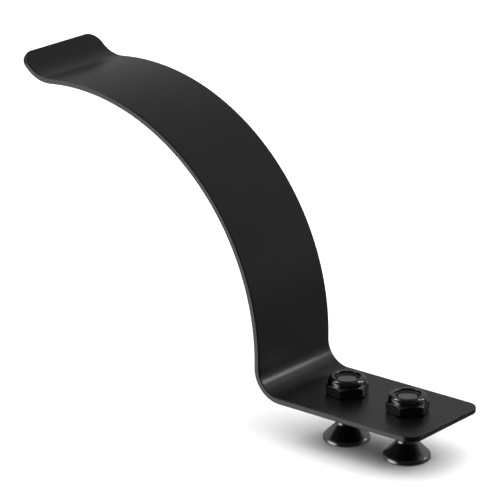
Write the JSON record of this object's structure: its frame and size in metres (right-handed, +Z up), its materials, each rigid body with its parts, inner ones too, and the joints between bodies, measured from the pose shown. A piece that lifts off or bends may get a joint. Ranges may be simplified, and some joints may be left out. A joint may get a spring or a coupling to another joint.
{
  "type": "headphone hook",
  "caption": "Bent steel strip hook with an upturned lip; a flat plate carries countersunk clamp screws and lock nuts for a slotted rail.",
  "frame": {"origin": "on the underside of the mounting plate, midway between the two clamp screws", "axes": "+X along the plate to its free end, +Z up out of the plate towards the nuts, the hook curls towards -X and the strip's width runs along Y"},
  "size_m": [0.17, 0.038, 0.115],
  "materials": {
    "powder_coated_steel": "satin black powder coat",
    "black_screw_steel": "glossy black zinc",
    "black_nut_steel": "glossy black zinc",
    "black_nylon": "matte"
  },
  "bodies": {
    "hook": {"hook_strip": "powder_coated_steel"},
    "inner_nut": {"nut_inner": "black_nut_steel", "locking_ring_inner": "black_nylon"},
    "outer_nut": {"nut_outer": "black_nut_steel", "locking_ring_outer": "black_nylon"},
    "inner_screw": {"screw_inner": "black_screw_steel"},
    "outer_screw": {"screw_outer": "black_screw_steel"}
  },
  "joints": [
    {"name": "inner_nut_turn", "type": "hinge", "parent": "hook", "child": "inner_nut", "pos_m": [-0.0125, 0, 0.002], "axis": [0, 0, -1], "range_deg": [-720, 1800]},
    {"name": "outer_nut_turn", "type": "hinge", "parent": "hook", "child": "outer_nut", "pos_m": [0.0125, 0, 0.002], "axis": [0, 0, -1], "range_deg": [-720, 1800]},
    {"name": "inner_screw_lift", "type": "slide", "parent": "hook", "child": "inner_screw", "axis": [0, 0, 1], "range_m": [-0.0025, 0.00625]},
    {"name": "outer_screw_lift", "type": "slide", "parent": "hook", "child": "outer_screw", "axis": [0, 0, 1], "range_m": [-0.0025, 0.00625]}
  ],
  "couplings": [
    {"joint": "inner_screw_lift", "follows": "inner_nut_turn", "m_per_rad": 0.00019894},
    {"joint": "outer_screw_lift", "follows": "outer_nut_turn", "m_per_rad": 0.00019894}
  ]
}
